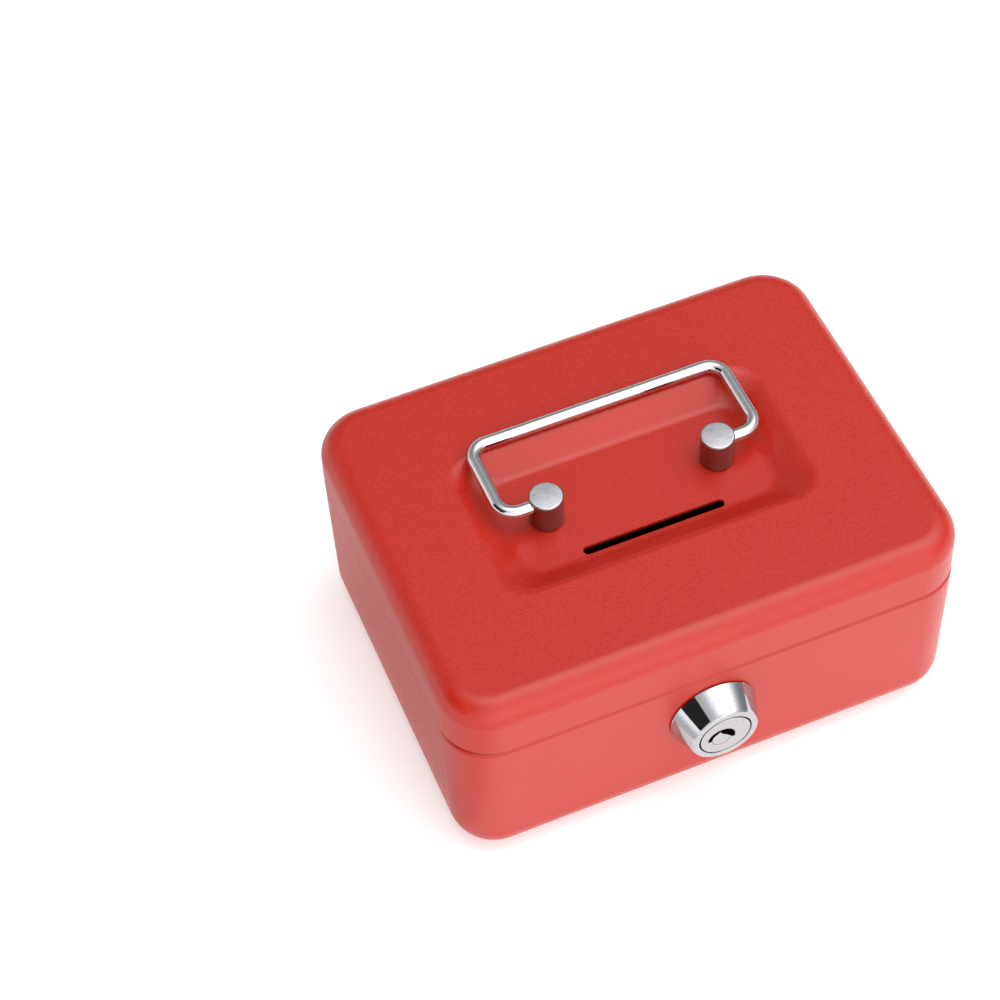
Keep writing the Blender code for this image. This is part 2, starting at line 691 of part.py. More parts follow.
def cam_outline():
    """Round hub with one straight arm, drawn with the arm along drawing +x (world +z)."""
    hub, half, reach = 0.0050, CAM_HALF, CAM_REACH
    leave = acos(half / hub) * 180 / pi
    start = 90 - leave
    points = arc(0, 0, hub, start, 360 - start, 24)
    points += arc(reach - 0.0015, -half + 0.0015, 0.0015, -90, 0, 4)
    points += arc(reach - 0.0015, half - 0.0015, 0.0015, 0, 90, 4)
    return points


def lock_cam():
    """Flat cam on the plug's square drive; its arm points up while unlocked."""
    s = 0.0026 + GAP
    square = [(-s, -s), (s, -s), (s, s), (-s, s)]
    return slab("lock_cam", cam_outline(), [square], CAM_Y1 - CAM_Y0, ZINC,
                (LOCK_X, CAM_Y0, LOCK_Z), ALONG_Y)


def cam_washer():
    """Washer under the head of the cam screw."""
    profile = ring_profile(0.0016, 0.0042, -0.0313, -0.0307, 0.0001)
    return revolve("cam_washer", profile, ZINC, LOCK_AT, ALONG_Y, 24)


def cam_screw():
    """Screw into the end of the square drive."""
    head_y = -0.0304
    r, head = 0.0013, 0.0030
    profile = [(0, -0.0355), (r - 0.0002, -0.0355), (r, -0.0353), (r, head_y),
               (head, head_y), (head, head_y + 0.0010), (head * 0.7, head_y + 0.0017),
               (0, head_y + 0.0017)]
    screw = revolve("cam_screw", profile, ZINC, LOCK_AT, ALONG_Y, 24)
    slot = box_cutter("cut_cam_screw", (LOCK_X - 0.0045, head_y + 0.0008, LOCK_Z - 0.0004),
                      (LOCK_X + 0.0045, head_y + 0.0030, LOCK_Z + 0.0004))
    return cut(screw, slot)


lock_housing()
lock_washer()
lock_nut()
turning = [lock_plug(), locking_bar(), lock_cam(), cam_washer(), cam_screw()]
turning += [tumbler_disc(n) for n in range(1, DISC_COUNT + 1)]

# ---------------------------------------------------------------- joints
lid_joint = joint_empty("joint_lid", (0, HINGE_Y, HINGE_Z))
bail_joint = joint_empty("joint_handle", (0, 0, BAIL_AXIS_Z))
lock_joint = joint_empty("joint_lock", (LOCK_X, LOCK_FACE_Y, LOCK_Z))
hang_on(lid_joint, lid_shell, catch, left_leaf, right_leaf, *left_rivets, *right_rivets,
        *posts, *washers, *screws, bail_joint)
hang_on(bail_joint, bail)
hang_on(lock_joint, *turning)
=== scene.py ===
"""Looks of the small red cash box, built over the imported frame."""
import bpy
import bmesh
from math import acos, cos, degrees, radians, sin
from mathutils import Matrix, Vector


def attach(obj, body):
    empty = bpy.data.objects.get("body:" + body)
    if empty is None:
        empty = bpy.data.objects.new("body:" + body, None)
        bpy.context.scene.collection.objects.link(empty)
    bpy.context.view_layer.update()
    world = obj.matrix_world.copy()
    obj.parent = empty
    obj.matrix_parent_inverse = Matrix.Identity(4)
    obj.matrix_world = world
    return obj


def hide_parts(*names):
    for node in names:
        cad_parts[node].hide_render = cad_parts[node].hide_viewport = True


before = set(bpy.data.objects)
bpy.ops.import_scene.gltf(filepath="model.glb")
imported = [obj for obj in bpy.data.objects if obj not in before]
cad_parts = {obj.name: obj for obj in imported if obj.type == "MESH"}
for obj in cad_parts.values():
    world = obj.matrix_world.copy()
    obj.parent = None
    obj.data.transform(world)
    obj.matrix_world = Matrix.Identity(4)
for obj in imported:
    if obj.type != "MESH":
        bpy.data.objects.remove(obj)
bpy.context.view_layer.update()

# ---------------------------------------------------------------- sizes of the real pieces (m)
GAP = 0.0003
SHEET = 0.0008
BODY_HX, BODY_HY, BODY_CORNER = 0.0625, 0.0475, 0.0111
BODY_DRAFT, BODY_FOOT_R, SHOULDER_Z = 0.0080, 0.0084, 0.0416
NECK_INSET, RIM_Z = 0.00155, 0.0482
LID_HX, LID_HY, LID_CORNER = 0.06275, 0.04775, 0.0124
LID_EDGE_Z, LID_TOP_Z, LID_TOP_R, LID_SIDE_INSET = 0.0435, 0.0583, 0.0057, 0.0001
DISH_HX, DISH_HY, DISH_R = 0.0400, 0.0215, 0.0080
FLOOR_HX, FLOOR_HY, FLOOR_R, FLOOR_Z = 0.0300, 0.0130, 0.0040, 0.0540
DISH_BLEND = 0.25                                  # share of the slope rounded at each end
RIM_R, LID_LIP = 0.0002, 0.00015                   # softened edges of tub and lid
SLOT_LENGTH, SLOT_WIDTH, SLOT_Y = 0.0350, 0.0023, -0.0121
POST_X, POST_R, POST_TOP_Z, POST_RIM_R = 0.0213, 0.0040, 0.0625, 0.0004
SCREW_HOLE_R, POST_BORE_Z, POST_SCREW_TIP_Z = 0.0018, 0.0576, 0.0572
WASHER_T, WASHER_R, SCREW_PITCH = 0.0008, 0.0036, 0.0006
BAIL_AXIS_Z, WIRE_R, BAIL_HOLE_R, BAIL_LEG_END_X = 0.0602, 0.0016, 0.00185, 0.0202
BAIL_ARM_X, BAIL_GRIP_Y, BAIL_BEND_R = 0.0318, 0.0215, 0.0042
HINGE_Y, HINGE_Z = 0.0501, 0.0436
KNUCKLE_R, KNUCKLE_BORE_R, PIN_R = 0.0020, 0.0012, 0.0009
LEAF_T, LEAF_LENGTH, HINGE_X = 0.0008, 0.0240, 0.0360
LEAF_LOW_Z, LEAF_HIGH_Z = 0.0310, 0.0526
LEAF_Y, LEAF_BEND_Z = 0.04775, (0.0388, 0.0408)    # plate of the fixed leaf and its set-off
BODY_WALL_Y, LID_WALL_Y = 0.04665, 0.04685         # inner faces under the rivets
BODY_RIVET_Z, LID_RIVET_Z, RIVET_DX = 0.0355, 0.0500, 0.0070
RIVET_R, RIVET_HEAD_R = 0.0009, 0.0017
LOCK_X, LOCK_Z, LOCK_FACE_Y = -0.0014, 0.0280, -0.0544
BEZEL_BASE_R, BEZEL_FACE_R, BEZEL_BASE_Y = 0.0106, 0.0081, -0.0477
BARREL_R, BARREL_END_Y, BARREL_FLAT = 0.0080, -0.0353, 0.0072
BEZEL_RIM_R, BARREL_LIP_R, BARREL_LIP_Y = 0.0004, 0.0041, -0.0370
PLUG_R, PLUG_BORE_R, PLUG_NECK_R = 0.0062, 0.0065, 0.0038
PLUG_END_Y, SQUARE_END_Y, SQUARE_HALF = -0.0373, -0.0316, 0.0026
CHAMBER_Y0, CHAMBER_Y1 = -0.0518, -0.0392
GROOVE_Y0, BAR_SLOT_Y1, BAR_Y0, BAR_Y1 = -0.0506, -0.0400, -0.0503, -0.0403
LOCK_WASHER_R, LOCK_WASHER_Y = 0.0100, (-0.0463, -0.0455)
NUT_R, NUT_Y = 0.0106, (-0.0452, -0.0426)
KEYWAY_DX, KEYWAY_DZ, KEYWAY_IN_R, KEYWAY_OUT_R = -0.0010, -0.0006, 0.0020, 0.0034
SEAM_R, TAPPING_R, TAPPING_Y, FLATS_END_Y = (0.00235, 0.00222), 0.0016, -0.0360, -0.0300
DISC_T, DISC_PITCH, DISC_R, DISC_FIRST_Y = 0.0016, 0.0020, 0.0050, -0.0506
DISC_TURNS = (0.0, 14.0, -8.0, 20.0, 6.0)           # each disc's own key cut, degrees
CAM_Y0, CAM_Y1, CAM_REACH, CAM_HALF, CAM_HUB_R = -0.0347, -0.0329, 0.0145, 0.0035, 0.0050
CAM_WASHER_Y, CAM_WASHER_R = (-0.0313, -0.0307), (0.0016, 0.0042)
CAM_SCREW_Y, CAM_SCREW_TIP_Y, CAM_SCREW_R = -0.0304, -0.0355, 0.0013
CATCH_X0, CATCH_X1, CATCH_T = 0.0080, 0.0160, 0.0012
CATCH_FRONT_Y, CATCH_BACK_Y, CATCH_BEND_R = -0.0410, -0.0308, 0.0010

CORNER_STEPS = 20
FILLET_STEPS = 14
LOCK_AT = (LOCK_X, 0, LOCK_Z)

# ---------------------------------------------------------------- material tools


class Nodes:
    """Short hand for building one material's node tree."""

    def __init__(self, name):
        self.mat = bpy.data.materials.new(name)
        self.mat.use_nodes = True
        self.tree = self.mat.node_tree
        self.shader = self.tree.nodes["Principled BSDF"]
        self.coords = self.tree.nodes.new("ShaderNodeTexCoord").outputs["Object"]

    def add(self, kind, **values):
        """Add a node and set its inputs by name."""
        node = self.tree.nodes.new("ShaderNode" + kind)
        for key, value in values.items():
            node.inputs[key.replace("_", " ")].default_value = value
        return node

    def link(self, output, target):
        self.tree.links.new(output, target)

    def stretched(self, scale):
        """Object coordinates stretched along chosen axes."""
        node = self.add("Mapping", Scale=scale)
        self.link(self.coords, node.inputs["Vector"])
        return node.outputs["Vector"]

    def noise(self, scale, detail=2.0, vector=None, roughness=0.5):
        node = self.add("TexNoise", Scale=scale, Detail=detail, Roughness=roughness)
        self.link(vector or self.coords, node.inputs["Vector"])
        return node.outputs["Fac"]

    def spread(self, fac, low, high, span=(0.3, 0.7)):
        """Map a factor to a number range."""
        node = self.add("MapRange", From_Min=span[0], From_Max=span[1], To_Min=low, To_Max=high)
        self.link(fac, node.inputs["Value"])
        return node.outputs["Result"]

    def colours(self, fac, dark, light, low=0.35, high=0.65):
        """Blend two colours by a factor."""
        node = self.tree.nodes.new("ShaderNodeValToRGB")
        node.color_ramp.elements[0].position = low
        node.color_ramp.elements[1].position = high
        node.color_ramp.elements[0].color = (*dark, 1)
        node.color_ramp.elements[1].color = (*light, 1)
        self.link(fac, node.inputs["Fac"])
        return node.outputs["Color"]

    def bump(self, height, strength, distance, under=None):
        node = self.add("Bump", Strength=strength, Distance=distance)
        self.link(height, node.inputs["Height"])
        if under is not None:
            self.link(under, node.inputs["Normal"])
        return node.outputs["Normal"]

    def base(self, colour, metallic, **extra):
        self.shader.inputs["Base Color"].default_value = (*colour, 1)
        self.shader.inputs["Metallic"].default_value = metallic
        for key, value in extra.items():
            self.shader.inputs[key.replace("_", " ")].default_value = value

    def into(self, output, socket):
        self.link(output, self.shader.inputs[socket])


def powder_coat():
    """Fine-grained red powder coat: small orange-peel lumps over a slow wave."""
    m = Nodes("powder_coat_red")
    m.base((0.46, 0.0145, 0.0032), 0.0, IOR=1.51)
    grain = m.noise(1500.0, 2.0, roughness=0.5)
    dark, light = (0.424, 0.0125, 0.0026), (0.488, 0.0170, 0.0040)
    m.into(m.colours(grain, dark, light, 0.25, 0.75), "Base Color")
    m.into(m.spread(grain, 0.28, 0.40), "Roughness")
    lumps = m.bump(m.noise(420.0, 1.0), 0.14, 0.00006)
    m.into(m.bump(grain, 1.0, 0.000048, lumps), "Normal")
    return m.mat


def chrome(name, roughness=0.05, tint=(0.74, 0.75, 0.77)):
    """Polished nickel-chrome with faint haze and a slow ripple."""
    m = Nodes(name)
    m.base(tint, 1.0)
    haze = m.noise(900.0, 4.0)
    m.into(m.spread(haze, roughness * 0.7, roughness * 1.6), "Roughness")
    wear = m.noise(1700.0, 3.0)
    m.into(m.colours(wear, [c * 0.93 for c in tint], [c * 1.05 for c in tint]), "Base Color")
    ripple = m.bump(m.noise(420.0, 2.0), 0.10, 0.00005)
    m.into(m.bump(wear, 0.10, 0.00003, ripple), "Normal")
    return m.mat


def brushed(name, along, tint=(0.60, 0.60, 0.62), roughness=0.30, depth=0.25):
    """Metal with fine parallel scratches; `along` stretches them."""
    m = Nodes(name)
    m.base(tint, 1.0)
    lines = m.noise(1.0, 3.0, m.stretched(along), 0.7)
    dark, light = [c * 0.86 for c in tint], [min(1, c * 1.1) for c in tint]
    m.into(m.colours(lines, dark, light), "Base Color")
    m.into(m.spread(lines, roughness * 0.75, roughness * 1.35), "Roughness")
    m.into(m.bump(lines, depth, 0.00002), "Normal")
    return m.mat


def zinc():
    """Bright zinc plate with soft mottling."""
    m = Nodes("zinc_plate")
    m.base((0.62, 0.64, 0.66), 1.0)
    patches = m.noise(380.0, 3.0)
    m.into(m.colours(patches, (0.55, 0.57, 0.60), (0.70, 0.71, 0.70)), "Base Color")
    m.into(m.spread(patches, 0.24, 0.40), "Roughness")
    m.into(m.bump(m.noise(2200.0, 2.0), 0.15, 0.00002), "Normal")
    return m.mat


def brass():
    """Stamped brass with faint grain."""
    m = Nodes("brass")
    m.base((0.74, 0.53, 0.24), 1.0)
    grain = m.noise(1500.0, 3.0)
    m.into(m.colours(grain, (0.66, 0.46, 0.20), (0.80, 0.60, 0.30)), "Base Color")
    m.into(m.spread(grain, 0.22, 0.38), "Roughness")
    m.into(m.bump(grain, 0.12, 0.00002), "Normal")
    return m.mat


RED = powder_coat()
CHROME = chrome("chrome_bezel", 0.06, (0.47, 0.48, 0.50))
WIRE = chrome("chrome_wire", 0.10, (0.67, 0.68, 0.70))
# dark reddish post tint: painted shade and painted reflection of the shaded red recess on the post
# sides
POST = chrome("chrome_post_painted_shade", 0.14, (0.31, 0.27, 0.28))
PLUG = chrome("chrome_plug_face", 0.16, (0.46, 0.475, 0.49))
TOPS = brushed("brushed_post_top", (700, 4500, 700), (0.62, 0.62, 0.65), 0.36, 0.8)
LEAF = brushed("rolled_zinc_leaf", (500, 3800, 3800), (0.62, 0.63, 0.65))
ZINC = zinc()
BRASS = brass()
# near-black keyway walls: painted shade inside the deep keyway opening
KEYWAY_SHADE = brushed("painted_shade_keyway_wall", (600, 600, 5000), (0.030, 0.027, 0.025), 0.5, 0.3)

# ---------------------------------------------------------------- mesh tools


def finish(bm, name):
    """Weld, turn the faces outwards and store a mesh."""
    bmesh.ops.remove_doubles(bm, verts=bm.verts, dist=1e-7)
    bmesh.ops.recalc_face_normals(bm, faces=bm.faces)
    mesh = bpy.data.meshes.new(name)
    bm.to_mesh(mesh)
    bm.free()
    return mesh


def link(name, data):
    made = bpy.data.objects.new(name, data)
    bpy.context.scene.collection.objects.link(made)
    return made


def solved(obj, name):
    """Mesh of an object with its modifiers or curve settings worked out; the object goes."""
    bpy.context.view_layer.update()
    graph = bpy.context.evaluated_depsgraph_get()
    mesh = bpy.data.meshes.new_from_object(obj.evaluated_get(graph))
    bpy.data.objects.remove(obj, do_unlink=True)
    bm = bmesh.new()
    bm.from_mesh(mesh)
    bpy.data.meshes.remove(mesh)
    return finish(bm, name)


def corner_ring(hx, hy, radius, z):
    """Points of a rectangle with rounded corners, at one height."""
    points = []
    for sx, sy, start in ((1, 1, 0), (-1, 1, 90), (-1, -1, 180), (1, -1, 270)):
        for step in range(CORNER_STEPS + 1):
            a = radians(start + 90 * step / CORNER_STEPS)
            points.append((sx * (hx - radius) + radius * cos(a),
                           sy * (hy - radius) + radius * sin(a), z))
    return points


def loft(name, rings):
    """Skin a run of unlike rounded-rectangle sections and cap both ends."""
    bm = bmesh.new()
    rows = [[bm.verts.new(p) for p in ring] for ring in rings]
    count = len(rows[0])
    for low, high in zip(rows, rows[1:]):
        for i in range(count):
            j = (i + 1) % count
            bm.faces.new((low[i], low[j], high[j], high[i]))
    bm.faces.new(list(reversed(rows[0])))
    bm.faces.new(rows[-1])
    return finish(bm, name)


ALONG_Y = ((0, 0, 1), (1, 0, 0), (0, 1, 0))
ALONG_X = ((0, 1, 0), (0, 0, 1), (1, 0, 0))
UPRIGHT = ((1, 0, 0), (0, 1, 0), (0, 0, 1))


def to_frame(mesh, origin, axes):
    """Carry a mesh from its drawing axes to world axes."""
    turn = Matrix(axes).transposed().to_4x4()
    mesh.transform(Matrix.Translation(Vector(origin)) @ turn)
    return mesh


def revolve(name, profile, origin, axes, steps=72):
    """Turn a closed profile of (radius, height) once around the drawing z axis."""
    mesh = bpy.data.meshes.new(name)
    edges = [(i, (i + 1) % len(profile)) for i in range(len(profile))]
    on_axis = [r < 1e-9 for r, _ in profile]
    edges = [e for e in edges if not (on_axis[e[0]] and on_axis[e[1]])]
    mesh.from_pydata([(r, 0.0, h) for r, h in profile], edges, [])
    draft = link(name + "_draft", mesh)
    screw = draft.modifiers.new("turn", "SCREW")
    screw.steps = steps
    screw.render_steps = steps
    screw.use_merge_vertices = True
    screw.merge_threshold = 1e-6
    return to_frame(solved(draft, name), origin, axes)


def slab(name, outline, holes, depth, origin, axes):
    """Extrude a flat outline, with holes, along the drawing z axis from 0 to depth."""
    curve = bpy.data.curves.new(name, "CURVE")
    curve.dimensions = "2D"
    curve.fill_mode = "BOTH"
    curve.extrude = depth / 2
    for loop in [outline] + holes:
        spline = curve.splines.new("POLY")
        spline.points.add(len(loop) - 1)
        for point, (x, y) in zip(spline.points, loop):
            point.co = (x, y, 0.0, 1.0)
        spline.use_cyclic_u = True
    mesh = solved(link(name + "_draft", curve), name)
    mesh.transform(Matrix.Translation((0, 0, depth / 2)))
    return to_frame(mesh, origin, axes)


def block(low, high):
    """Rectangular block between two corners."""
    bm = bmesh.new()
    bmesh.ops.create_cube(bm, size=1.0)
    low, high = Vector(low), Vector(high)
    bmesh.ops.scale(bm, vec=high - low, verts=bm.verts)
    bmesh.ops.translate(bm, vec=(high + low) / 2, verts=bm.verts)
    return finish(bm, "block")


def carve(mesh, *cutters):
    """Take each cutter mesh away from the mesh."""
    name = mesh.name
    target = link(name + "_draft", mesh)
    drafts = []
    for number, cutter in enumerate(cutters):
        draft = link("%s_cutter_%d" % (name, number), cutter)
        step = target.modifiers.new("cut", "BOOLEAN")
        step.operation = "DIFFERENCE"
        step.solver = "EXACT"
        step.object = draft
        drafts.append(draft)
    result = solved(target, name)
    for draft in drafts:
        bpy.data.objects.remove(draft, do_unlink=True)
    return result


def arc(cx, cy, radius, start, end, steps):
    """Points of an arc between two angles in degrees."""
    turn = [radians(start + (end - start) * i / steps) for i in range(steps + 1)]
    return [(cx + radius * cos(a), cy + radius * sin(a)) for a in turn]


def circle(radius, steps, cx=0.0, cy=0.0):
    return arc(cx, cy, radius, 0, 360, steps)[:-1]


def ring_profile(r_in, r_out, h0, h1, bevel):
    """Profile of a flat ring with rounded outer edges."""
    top = arc(r_out - bevel, h1 - bevel, bevel, 90, 0, 4)
    bottom = arc(r_out - bevel, h0 + bevel, bevel, 0, -90, 4)
    return top + bottom + [(r_in, h0), (r_in, h1)]


def threads(r_out, depth, h0, h1, pitch):
    """Zigzag side of a threaded length, from h0 to h1."""
    count = max(1, int(abs(h1 - h0) / pitch))
    step = (h1 - h0) / count
    points = []
    for i in range(count):
        points.append((r_out, h0 + step * (i + 0.10)))
        points.append((r_out, h0 + step * (i + 0.25)))
        points.append((r_out - depth, h0 + step * (i + 0.60)))
        points.append((r_out - depth, h0 + step * (i + 0.70)))
    return points


def piece(name, mesh, mat, body, bevel=0.0, crease=35.0):
    """Show a mesh in place of its CAD node, smooth except at its real edges."""
    mesh.name = name
    mesh.materials.clear()
    mesh.materials.append(mat)
    obj = link(name + "_look", mesh)
    if bevel:
        edge = obj.modifiers.new("edge", "BEVEL")
        edge.width = bevel
        edge.segments = 2
        edge.limit_method = "ANGLE"
        edge.angle_limit = radians(50)
        edge.harden_normals = True
    mesh.shade_smooth()
    mesh.set_sharp_from_angle(angle=radians(crease))
    even = obj.modifiers.new("even", "WEIGHTED_NORMAL")
    even.keep_sharp = True
    even.weight = 90
    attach(obj, body)
    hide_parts(name)
    return obj

# ---------------------------------------------------------------- body shell


def body_ring(inset, z):
    inset = inset + BODY_DRAFT * max(0.0, SHOULDER_Z - z)
    return corner_ring(BODY_HX - inset, BODY_HY - inset, BODY_CORNER - inset, z)


def foot_sections(radius):
    """Insets and heights round the bottom edge, floor side first."""
    turns = [radians(90 * i / FILLET_STEPS) for i in range(FILLET_STEPS + 1)]
    return [(BODY_FOOT_R - radius * sin(a), BODY_FOOT_R - radius * cos(a)) for a in turns]


SHOULDER = ((0.0, 0.0416), (0.00003, 0.0418), (0.00010, 0.0420), (0.00020, 0.04219),
            (0.00032, 0.04235), (0.00048, 0.0425), (0.00066, 0.04265), (0.00088, 0.04278),
            (0.00110, 0.0429), (0.00128, 0.04303), (0.00142, 0.0432), (NECK_INSET, 0.0436))


def body_mesh():
    """Tub: outside going up, rolled rim, inside coming down."""
    outside = foot_sections(BODY_FOOT_R) + list(SHOULDER)
    outside.append((NECK_INSET, RIM_Z - RIM_R))
    outer, inner, soft = NECK_INSET, NECK_INSET + SHEET, RIM_R * 0.3
    rim = [(outer + soft, RIM_Z - soft), (outer + RIM_R, RIM_Z),
           (inner - RIM_R, RIM_Z), (inner - soft, RIM_Z - soft)]
    inside = [(inner, RIM_Z - RIM_R)]
    inside += [(i + SHEET, z - RIM_R) for i, z in reversed(SHOULDER)]
    inside += list(reversed(foot_sections(BODY_FOOT_R - SHEET)))
    return loft("body_shell", [body_ring(i, z) for i, z in outside + rim + inside])


def flatted_outline(r, flat, steps):
    """Circle with a flat on each side in world x, drawn z first, x second."""
    side = degrees(acos(flat / r))
    outline = arc(0, 0, r, side, 180 - side, steps) + arc(0, 0, r, 180 + side, 360 - side, steps)
    return [(z, x) for x, z in outline]


def hole(r, x, z, y0=0.0445, length=0.006):
    """Round cutter along Y."""
    return revolve("hole", [(r, length), (r, 0.0), (0.0, 0.0), (0.0, length)], (x, y0, z),
                   ALONG_Y, 32)


RIVETS = [(side * HINGE_X + dx, side, number) for side in (-1, 1)
          for number, dx in ((1, -RIVET_DX), (2, RIVET_DX))]
body_cutters = [slab("lock_hole", flatted_outline(BARREL_R + GAP, BARREL_FLAT + GAP, 24), [],
                     0.010, (LOCK_X, -0.051, LOCK_Z), ALONG_Y)]
body_cutters += [hole(RIVET_R + GAP, x, BODY_RIVET_Z) for x, _, _ in RIVETS]
piece("body_shell", carve(body_mesh(), *body_cutters), RED, "body")

# ---------------------------------------------------------------- lid shell


def lid_ring(inset, z):
    return corner_ring(LID_HX - inset, LID_HY - inset, LID_CORNER - inset, z)


def dish_fall(t):
    """Share of the dish depth reached at share t of the slope, rounded at both ends."""
    b = DISH_BLEND
    if t < b:
        return t * t / (2 * b * (1 - b))
    if t > 1 - b:
        return 1 - (1 - t) ** 2 / (2 * b * (1 - b))
    return (t - b / 2) / (1 - b)


def dish_rings(under, steps=24):
    """Sections of the recess; `under` lowers them to the inside of the sheet."""
    rings = []
    for i in range(steps + 1):
        t = i / steps
        hx = DISH_HX + (FLOOR_HX - DISH_HX) * t + under * 0.22
        hy = DISH_HY + (FLOOR_HY - DISH_HY) * t + under * 0.22
        r = DISH_R + (FLOOR_R - DISH_R) * t
        z = LID_TOP_Z - (LID_TOP_Z - FLOOR_Z) * dish_fall(t) - under
        rings.append(corner_ring(hx, hy, r, z))
    return rings


def lid_shoulder(radius, inset):
    """Rounded edge between skirt and top."""
    turns = [radians(90 * i / FILLET_STEPS) for i in range(FILLET_STEPS + 1)]
    base_z = LID_TOP_Z - LID_TOP_R
    return [(inset + radius * (1 - cos(a)), base_z + radius * sin(a)) for a in turns]


def lid_mesh():
    """Lid: outside from the recess floor down to the edge, inside going back up."""
    lip = LID_LIP
    outside = [(lip, LID_EDGE_Z), (lip * 0.3, LID_EDGE_Z + lip * 0.3), (0.0, LID_EDGE_Z + lip)]
    outside += lid_shoulder(LID_TOP_R, LID_SIDE_INSET)
    inside = [(SHEET - lip, LID_EDGE_Z), (SHEET, LID_EDGE_Z + lip)]
    inside += lid_shoulder(LID_TOP_R - SHEET, LID_SIDE_INSET + SHEET)
    upper = [lid_ring(i, z) for i, z in outside] + dish_rings(0.0)
    lower = [lid_ring(i, z) for i, z in inside] + dish_rings(SHEET)
    return loft("lid_shell", list(reversed(upper)) + lower)


def coin_slot():
    """Long cutter with round ends."""
    r, reach = SLOT_WIDTH / 2, (SLOT_LENGTH - SLOT_WIDTH) / 2
    outline = arc(reach, 0, r, -90, 90, 16) + arc(-reach, 0, r, 90, 270, 16)
    return slab("slot", outline, [], 0.010, (0, SLOT_Y, FLOOR_Z - 0.005), UPRIGHT)


def post_hole(side):
    profile = [(SCREW_HOLE_R, 0.004), (SCREW_HOLE_R, 0.0), (0.0, 0.0), (0.0, 0.004)]
    return revolve("post_hole", profile, (side * POST_X, 0, FLOOR_Z - 0.003), UPRIGHT, 32)


lid_cutters = [coin_slot(), post_hole(-1), post_hole(1)]
lid_cutters += [hole(RIVET_R + GAP, x, LID_RIVET_Z) for x, _, _ in RIVETS]
piece("lid_shell", carve(lid_mesh(), *lid_cutters), RED, "lid")

# ---------------------------------------------------------------- hinges


def side_name(side):
    return "left" if side < 0 else "right"


Y_TAN = HINGE_Y - KNUCKLE_R
MEET = degrees(acos((Y_TAN + LEAF_T - HINGE_Y) / KNUCKLE_R))


def body_leaf_outline():
    """Side outline of the fixed leaf: plate, small set-off and rolled knuckle."""
    inner, outer = LEAF_Y, LEAF_Y + LEAF_T
    bend, straight = LEAF_BEND_Z
    points = [(inner, LEAF_LOW_Z), (inner, bend), (Y_TAN, straight)]
    points += arc(HINGE_Y, HINGE_Z, KNUCKLE_R, 180, -MEET, 48)
    return points + [(Y_TAN + LEAF_T, straight), (outer, bend), (outer, LEAF_LOW_Z)]


def lid_leaf_outline():
    """Side outline of the moving leaf: rolled knuckle and straight plate."""
    points = [(Y_TAN, LEAF_HIGH_Z)]
    points += arc(HINGE_Y, HINGE_Z, KNUCKLE_R, 180, 360 + MEET, 48)
    return points + [(Y_TAN + LEAF_T, LEAF_HIGH_Z)]


def leaf_mesh(name, outline, x, notches):
    bore = circle(KNUCKLE_BORE_R, 32, HINGE_Y, HINGE_Z)
    leaf = slab(name, outline, [bore], LEAF_LENGTH, (x - LEAF_LENGTH / 2, 0, 0), ALONG_X)
    reach = KNUCKLE_R + GAP
    return carve(leaf, *[block((x + x0, 0.0460, HINGE_Z - reach), (x + x1, 0.0540, HINGE_Z + reach))
                         for x0, x1 in notches])


def pin_mesh(x):
    """Pin with a flattened, rounded head at each end."""
    half, head, r = LEAF_LENGTH / 2, 0.0016, PIN_R
    top = arc(head - 0.0004, half + 0.0004, 0.0004, 90, 0, 6)
    bottom = arc(head - 0.0004, -half - 0.0004, 0.0004, 0, -90, 6)
    profile = [(0, half + 0.0008)] + top + [(head, half + GAP), (r, half + GAP)]
    profile += [(r, -half - GAP), (head, -half - GAP)] + bottom + [(0, -half - 0.0008)]
    return revolve("pin", profile, (x, HINGE_Y, HINGE_Z), ALONG_X, 48)


def rivet_mesh(x, z, wall_in, leaf_out):
    """Rivet with a domed head outside and a flat closed head inside."""
    y0, y1, head = wall_in - GAP, leaf_out + GAP, RIVET_HEAD_R
    dome = [(head * cos(radians(a)), y1 + 0.0009 * sin(radians(a))) for a in range(90, -1, -9)]
    profile = dome + [(RIVET_R, y1), (RIVET_R, y0), (head * 0.92, y0)]
    profile += [(head * 0.90, y0 - 0.0004), (head * 0.82, y0 - 0.0006), (0, y0 - 0.0006)]
    return revolve("rivet", profile, (x, 0, z), ALONG_Y, 40)


HALF, MIDDLE = LEAF_LENGTH / 2, 0.0040
for side in (-1, 1):
    name, x = side_name(side), side * HINGE_X
    fixed = leaf_mesh("fixed", body_leaf_outline(), x, [(-MIDDLE - GAP / 2, MIDDLE + GAP / 2)])
    moving = leaf_mesh("moving", lid_leaf_outline(), x,
                       [(-HALF - 0.001, -MIDDLE + GAP / 2), (MIDDLE - GAP / 2, HALF + 0.001)])
    piece("hinge_leaf_body_" + name, fixed, LEAF, "body", bevel=0.00012)
    piece("hinge_leaf_lid_" + name, moving, LEAF, "lid", bevel=0.00012)
    piece("hinge_pin_" + name, pin_mesh(x), ZINC, "body")
for x, side, number in RIVETS:
    tag = "%s_%d" % (side_name(side), number)
    low = rivet_mesh(x, BODY_RIVET_Z, BODY_WALL_Y, LEAF_Y + LEAF_T)
    high = rivet_mesh(x, LID_RIVET_Z, LID_WALL_Y, Y_TAN + LEAF_T)
    piece("body_rivet_" + tag, low, ZINC, "body")
    piece("lid_rivet_" + tag, high, ZINC, "lid")

# ---------------------------------------------------------------- handle


